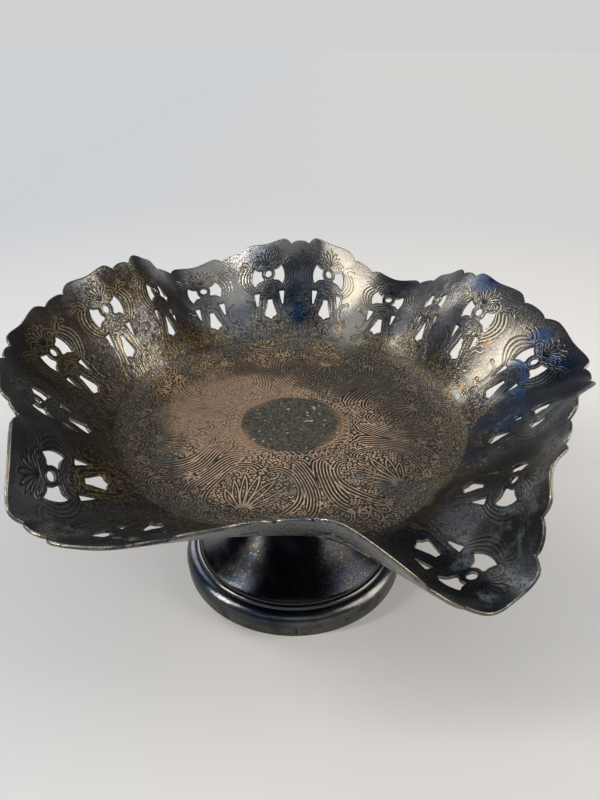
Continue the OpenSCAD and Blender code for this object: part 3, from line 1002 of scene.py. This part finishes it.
def wall_colour(g):
    """Polished plate under film and soot, under brown tarnish that's thickest low down and at the left. The
    clean patches, film, soot, blue and glaze are partly painted highlights, painted shade and painted sky
    reflection.
    """
    polished = g.mix(g.noise(22, 3).band(0.4, 0.62), rgb(92, 94, 98), rgb(128, 124, 116))
    steely_film_and_shade = g.mix(g.noise(38, 6, 0.7).band(0.42, 0.6), rgb(42, 46, 52), rgb(70, 76, 84))
    blue_film_and_sky = g.mix(g.noise(70, 8, 0.75).band(0.42, 0.62), rgb(24, 39, 56), rgb(36, 68, 106))
    bare_and_highlit = g.mix(g.left, rgb(133, 131, 126), rgb(140, 136, 110))
    soil = g.mix(g.noise(46, 3), rgb(15, 13, 12), rgb(60, 49, 32))
    often = g.most(g.noise(38, 3).band(0.42, 0.6), g.left * 0.85) * (1.0 - g.soot_and_shade)
    dots = g.noise(800, 6, 0.75).band(0.54, 0.6) * g.slope.band(60, 20)
    flecks = g.near(FLECK_SPOTS) * g.noise(260, 5, 0.7).band(0.55, 0.62)
    spots = g.noise(110, 1, 0.3).band(0.64, 0.68) * g.slope.band(40, 26)
    # Hole and rim edges lighter: worn, and partly a painted highlight where the sheet's edge catches light.
    edge = g.math("ABSOLUTE", g.side).band(0.75, 0.35) * g.noise(160, 6, 0.7).band(0.4, 0.58)
    return g.layers(
        polished,
        # Dark film, partly painted shade.
        (g.mix(g.left, steely_film_and_shade, rgb(42, 40, 38)), g.film_and_shade * 0.92),
        # Blue film, partly a painted reflection of blue sky.
        (blue_film_and_sky, g.near(BLUE_FILM_AND_SKY_SPOTS) * g.patchy.band(0.3, 0.55)),
        # Soot, partly painted shade.
        (rgb(28, 29, 31), g.soot_and_shade * 0.8),
        # Lighter clean plate, partly a painted highlight.
        (bare_and_highlit, g.clean * g.noise(50, 6, 0.7).band(0.35, 0.6)),
        (g.mix(g.earthy, rgb(32, 36, 42), soil), g.brown * 0.85),
        (rgb(158, 138, 98), dots * often * 0.8),
        (rgb(176, 140, 96), flecks * 0.8),
        (rgb(88, 73, 47), spots * 0.55),
        (rgb(18, 19, 20), g.groove.band(0.0, 0.9) * 0.7),
        # The lips of the grooves are rubbed bright, and lightened further as painted highlights along them.
        (rgb(156, 138, 104), g.groove.band(0.0, -0.55) * g.most(0.4 - g.film_and_shade * 0.35, g.left * 0.38)),
        (rgb(93, 105, 109), g.haze * 0.75),
        (rgb(148, 138, 116), edge * 0.5),
        # Blue glaze, partly a painted reflection of blue sky.
        (rgb(32, 62, 98), g.glaze_and_sky * 0.85),
        (rgb(128, 116, 98), g.line.band(0.3, 0.75) * 0.5),
    )


def floor_colour(g):
    """Tan lines on a dark ground, worn to copper at the left of a plain middle with a ragged edge."""
    bright = g.away(AXIS + (-1, -13, FLOOR_HEIGHT)).band(0.055, 0.026) + g.blotch.swing(1.5)
    worn = g.away(AXIS + (-22, 9, FLOOR_HEIGHT)).band(0.046, 0.016) + g.blotch.swing(1.5)
    bright, worn = bright.band(0.05, 0.75), worn.band(0.1, 0.8)
    raised = g.layers(
        g.mix(bright, rgb(114, 101, 84), rgb(198, 170, 141)),
        (rgb(182, 152, 112), g.near(GILT_SPOTS) * 0.8),
        (rgb(156, 131, 108), worn),
    )
    lines = g.node("ShaderNodeMix", {0: worn, 2: g.line.band(0.3, 0.75), 3: g.line.band(0.0, 0.35)})
    grey = g.patchy.band(0.48, 0.62) * worn.band(0.7, 0.2)
    middle = g.mix(g.noise(900, 4, 0.7).band(0.42, 0.6), rgb(44, 43, 39), rgb(92, 88, 76))
    middle = g.mix(g.noise(420, 2).band(0.66, 0.7), middle, rgb(168, 166, 140))
    outside = g.slope + (FLOOR_RADIUS - MEDALLION_RADIUS) + g.noise(230, 8, 0.78).swing(9.0)
    ring = outside.band(-2.7, 0.4) * outside.band(5.8, 1.2) * g.noise(40, 3).band(0.45, 0.62)
    return g.layers(
        g.mix(worn, rgb(30, 27, 24), rgb(94, 75, 60)),
        (raised, lines),
        (rgb(58, 62, 64), grey * 0.5),
        (rgb(46, 40, 35), g.speck.band(0.52, 0.68) * 0.8),
        (middle, outside.band(1.6, -1.0)),
        (rgb(150, 118, 90), ring * 0.6),
    )


def plate_material():
    """The floor's colour ends a little way up the bend. Tarnish roughens the metal and haze hides it."""
    g = Plate()
    on_floor = (g.slope + g.blotch.swing(34.0)).band(24, 12) * g.side.band(0.2, 0.8)
    soiled = (g.fine * 0.8 + g.blotch * 0.35).band(0.52, 0.72)
    colour = g.layers(
        wall_colour(g),
        (floor_colour(g), on_floor),
        (g.mix(soiled, rgb(102, 106, 112), rgb(68, 65, 60)), g.side.band(-0.2, -0.8)),
    )
    metal = 1.0 - on_floor * 0.6 - g.most(g.haze, g.glaze_and_sky) * 0.75
    g.put(metal, g.shader.inputs["Metallic"])
    roughness = g.brown * 0.26 + 0.2 + on_floor * 0.14 + g.film_and_shade * 0.14
    return g.finish(colour, roughness, g.speck + g.noise(1700, 2) * 0.4, 0.5)


def foot_material(name, dark, light, roughness, dirt, ledge_highlight_height=None):
    """Dark plate with a brown bloom and specks of dirt, lightened up to a height in mm as a painted highlight
    on the ledge.
    """
    g = Graph(name)
    broad, blotch, speck = g.noise(24, 2), g.noise(90, 10, 0.7), g.noise(1200, 5, 0.7)
    layers = [(light, broad.band(0.36, 0.66)), (rgb(48, 43, 36), blotch.band(0.46, 0.64) * dirt)]
    if ledge_highlight_height:
        height = g.node("ShaderNodeSeparateXYZ", {0: g.place}, "Z")
        # A painted highlight: the plate is lighter below the ledge's height.
        ledge_highlight = height.band((ledge_highlight_height + 0.8) * MM, ledge_highlight_height * MM)
        layers.append((rgb(110, 110, 110), ledge_highlight * 0.6))
    layers.append((rgb(98, 91, 78), speck.band(0.55, 0.62) * blotch.band(0.38, 0.5) * dirt))
    return g.finish(g.layers(dark, *layers), blotch.band(0.4, 0.7) * 0.1 + roughness, speck, 0.3)


def floor_material():
    """A matt pale floor. Far from the dish the camera and the metal see it at its own colour, so that it
    meets the room without an edge; near the dish it keeps the dish's shadow."""
    g = Graph("pale_floor", 0.0)
    across = g.node("ShaderNodeSeparateXYZ", {0: g.place}, "X")
    share = (across + g.noise(2.5, 2) * 0.3).band(-0.5, 0.7)
    kinds = ("Is Camera Ray", "Is Glossy Ray", "Is Transmission Ray")
    seen = g.most(*(g.node("ShaderNodeLightPath", {}, kind) for kind in kinds))
    far = seen * g.away((0, 0, 0)).band(0.2, 0.75)
    glow = g.node("ShaderNodeEmission", {"Color": g.mix(share, rgb(205, 208, 212), rgb(212, 211, 209))})
    both = g.node("ShaderNodeMixShader", {0: far, 1: Value(g, g.shader.outputs[0]), 2: glow})
    g.put(both, g.tree.nodes["Material Output"].inputs["Surface"])
    return g.finish(g.mix(share, rgb(194, 198, 203), rgb(217, 213, 208)), 0.9)


# ---- the dish and its foot, put together ----

dish = dish_object()
dish.data.materials.append(plate_material())
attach(dish, "root")
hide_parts("bowl")

dark_plate = foot_material("foot_dark_plate", rgb(24, 28, 35), rgb(36, 40, 47), 0.16, 0.6, LEDGE_HEIGHT)
turned_piece("foot_trumpet", pedestal_profile(), "pedestal", dark_plate)
bright_plate = foot_material("foot_bright_plate", rgb(54, 65, 79), rgb(104, 103, 100), 0.16, 0.6)
turned_piece("foot_moulding", bead_profile(), "foot_bead", bright_plate)
matt_plate = foot_material("foot_matt_plate", rgb(84, 82, 78), rgb(112, 108, 102), 0.42, 0.9)
turned_piece("foot_strip", band_profile(), "foot_band", matt_plate, SEAM_WIDTH)

solder = bpy.data.objects["solder_joint"]
solder.data.materials.clear()
solder.data.materials.append(foot_material("dull_solder", rgb(90, 90, 88), rgb(130, 128, 122), 0.45, 0.8))


# ---- the floor and the room ----

bpy.ops.mesh.primitive_plane_add(size=1)
floor = bpy.context.object
floor.name = "floor"
floor.data.transform(Matrix.Scale(16, 4))
floor.data.materials.append(floor_material())

HORIZON, ZENITH = rgb(208, 209, 210), rgb(84, 94, 110)
world = bpy.data.worlds.new("room")
bpy.context.scene.world = world
world.use_nodes = True
sky = world.node_tree
split = sky.nodes.new("ShaderNodeSeparateXYZ")
sky.links.new(sky.nodes.new("ShaderNodeTexCoord").outputs["Generated"], split.inputs[0])
shade = sky.nodes.new("ShaderNodeValToRGB")
for position, colour in ((0.05, HORIZON), (0.25, rgb(136, 138, 142)), (0.6, ZENITH)):
    stop = shade.color_ramp.elements.new(position)
    stop.color = colour
shade.color_ramp.elements[0].color = HORIZON
shade.color_ramp.elements[-1].color = ZENITH
sky.links.new(split.outputs["Z"], shade.inputs[0])
sky.links.new(shade.outputs[0], sky.nodes["Background"].inputs[0])


# ---- the light and the camera ----

LAMP_DISTANCE = 3  # metres


def lamp(name, bearing, height, size, power, colour):
    """A window aimed at the dish. As seen from there, its bearing (clockwise from behind) and its height are
    in degrees."""
    a, e = math.radians(bearing), math.radians(height)
    way = Vector((math.sin(a) * math.cos(e), math.cos(a) * math.cos(e), math.sin(e)))
    data = bpy.data.lights.new(name, "AREA")
    data.shape = "RECTANGLE"
    data.size, data.size_y = size
    data.energy = power
    data.color = colour
    made = bpy.data.objects.new(name, data)
    bpy.context.scene.collection.objects.link(made)
    made.location = LAMP_DISTANCE * way
    aim = Vector((0, 0, FLOOR_HEIGHT * MM)) - made.location
    made.rotation_euler = aim.to_track_quat("-Z", "Y").to_euler()


lamp("window_right", 95, 36, (1.7, 2.3), 60, (1, 0.94, 0.85))
lamp("window_left", -47, 31, (1.15, 1.9), 33, (1, 0.94, 0.86))
lamp("window_front_left", -105, 38, (0.3, 1.7), 52, (1, 0.96, 0.9))
lamp("top_softbox", 180, 72, (3.6, 3.6), 40, (0.96, 0.98, 1))

# Where the camera stands: it turns round a point above the foot.
PITCH, AZIMUTH, ROLL, DISTANCE = 30.304, 1.103, 0.553, 256.03
AIM = AXIS + [3.415, 0, 81.671]
LENS = 28.6

pitch, azimuth = math.radians(PITCH), math.radians(AZIMUTH)
back = Vector((math.sin(azimuth) * math.cos(pitch), -math.cos(azimuth) * math.cos(pitch), math.sin(pitch)))
camera_data = bpy.data.cameras.new("camera")
camera_data.lens = LENS
camera_data.clip_start = 0.01
camera = bpy.data.objects.new("camera", camera_data)
bpy.context.scene.collection.objects.link(camera)
turn = back.to_track_quat("Z", "Y").to_matrix() @ Matrix.Rotation(math.radians(ROLL), 3, "Z")
camera.matrix_world = Matrix.Translation((Vector(AIM) + back * DISTANCE) * MM) @ turn.to_4x4()
bpy.context.scene.camera = camera
bpy.context.scene.view_settings.view_transform = "Standard"
